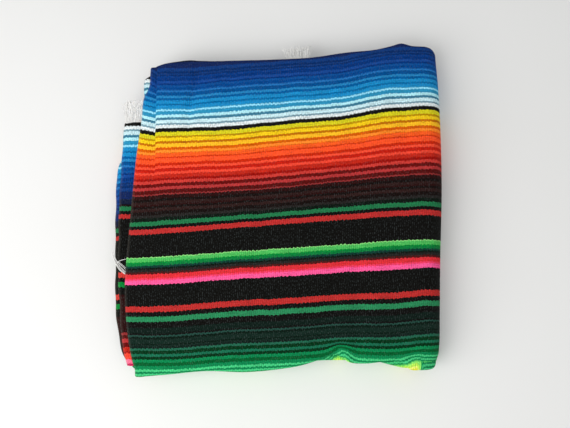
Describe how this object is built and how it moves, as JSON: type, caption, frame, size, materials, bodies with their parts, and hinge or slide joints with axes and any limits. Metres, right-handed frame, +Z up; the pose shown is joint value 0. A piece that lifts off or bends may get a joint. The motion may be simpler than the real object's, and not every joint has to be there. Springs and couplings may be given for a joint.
{
  "type": "folded serape blanket",
  "caption": "Striped woven serape blanket folded flat into a square packet, with a round spine, open leaves on one side and tufts of fringe.",
  "frame": {"origin": "centre of the packet's bounding box, on the surface that it rests on", "axes": "+Z up, +X along the stripes towards the round spine, +Y towards the back fold"},
  "size_m": [0.4079, 0.4209, 0.054],
  "materials": {
    "cloth": "matte weft-faced weave",
    "fringe": "matte twisted yarn"
  },
  "bodies": {
    "root": {"outer_layer": "cloth", "folded_layers": "cloth", "low_leaf": "cloth", "under_leaf_1": "cloth", "under_leaf_2": "cloth", "under_leaf_3": "cloth", "end_leaf": "cloth", "under_leaf_4": "cloth", "under_leaf_5": "cloth", "under_leaf_6": "cloth", "hook_leaf": "cloth", "end_fringe": "fringe", "back_fringe": "fringe", "side_threads": "fringe"}
  },
  "joints": []
}
